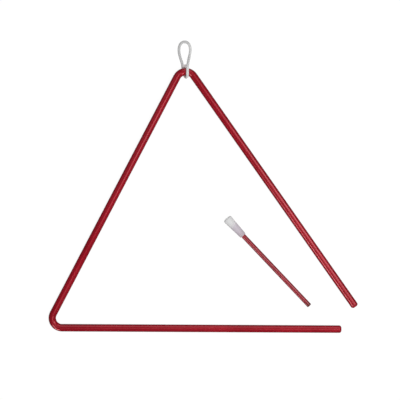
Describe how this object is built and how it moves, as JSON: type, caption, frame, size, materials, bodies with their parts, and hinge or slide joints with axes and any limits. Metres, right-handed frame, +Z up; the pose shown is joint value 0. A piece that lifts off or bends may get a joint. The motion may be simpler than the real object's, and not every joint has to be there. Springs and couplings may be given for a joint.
{
  "type": "alarm triangle",
  "caption": "Open triangle of bent round steel bar, painted red, that hangs by a cord eye and is struck with a short gripped beater to sound an alarm.",
  "frame": {"origin": "on the ground under the middle of the bar's outline, cord left out", "axes": "+X along the bottom side towards its free end, +Y from the bottom side towards the top bend, +Z up"},
  "size_m": [0.4136, 0.3906, 0.0186],
  "materials": {
    "bar_paint": "glossy deep red paint",
    "cord": "braided pale cord",
    "rod_paint": "glossy deep red paint",
    "grip": "milky, see-through soft plastic"
  },
  "bodies": {
    "triangle": {"triangle_bar": "bar_paint"},
    "hanger": {"hanging_cord": "cord", "cord_knot": "cord"},
    "beater": {"beater_rod": "rod_paint", "beater_grip": "grip"}
  },
  "joints": [
    {"name": "hanger_swing", "type": "hinge", "parent": "triangle", "child": "hanger", "pos_m": [-0.02479, 0.17146, 0.00929], "axis": [1, 0, 0], "range_deg": [0, 180]},
    {"name": "beater_lift", "type": "slide", "parent": "triangle", "child": "beater", "axis": [0, 0, 1], "range_m": [0, 0.2]}
  ]
}
